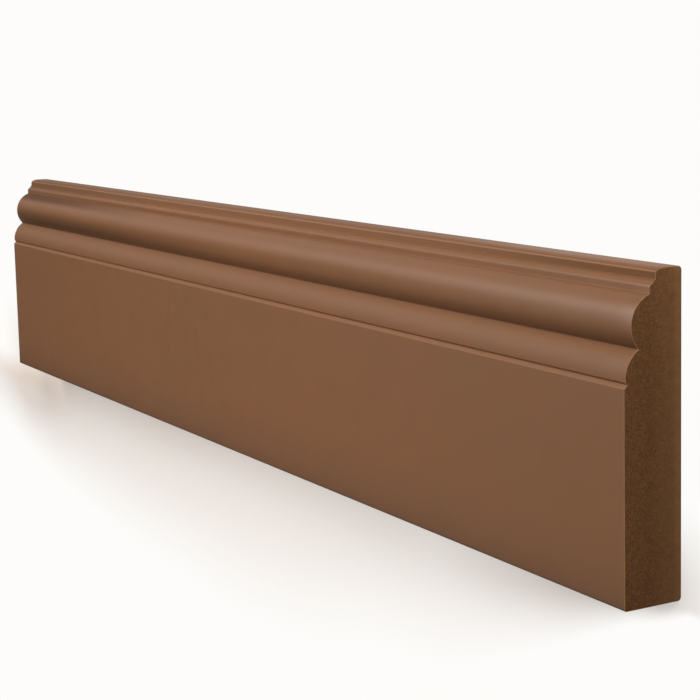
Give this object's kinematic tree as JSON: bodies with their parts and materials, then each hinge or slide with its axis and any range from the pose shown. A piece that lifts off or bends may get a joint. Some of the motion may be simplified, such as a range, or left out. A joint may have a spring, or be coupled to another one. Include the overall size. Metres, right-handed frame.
{
  "type": "skirting board length",
  "caption": "Short length of moulded skirting board: a flat face with a torus and ovolo moulding along its top edge, sawn square at both ends.",
  "frame": {"origin": "middle of the back face, which lies on the floor", "axes": "+X along the length, +Y up the board from its plain bottom edge to its moulded top edge, +Z out of the moulded face"},
  "size_m": [0.635, 0.119, 0.025],
  "materials": {
    "coated_board": "satin brown coating over milled fibreboard, bare and matt on the two sawn ends"
  },
  "bodies": {
    "root": {"skirting_board": "coated_board"}
  },
  "joints": []
}
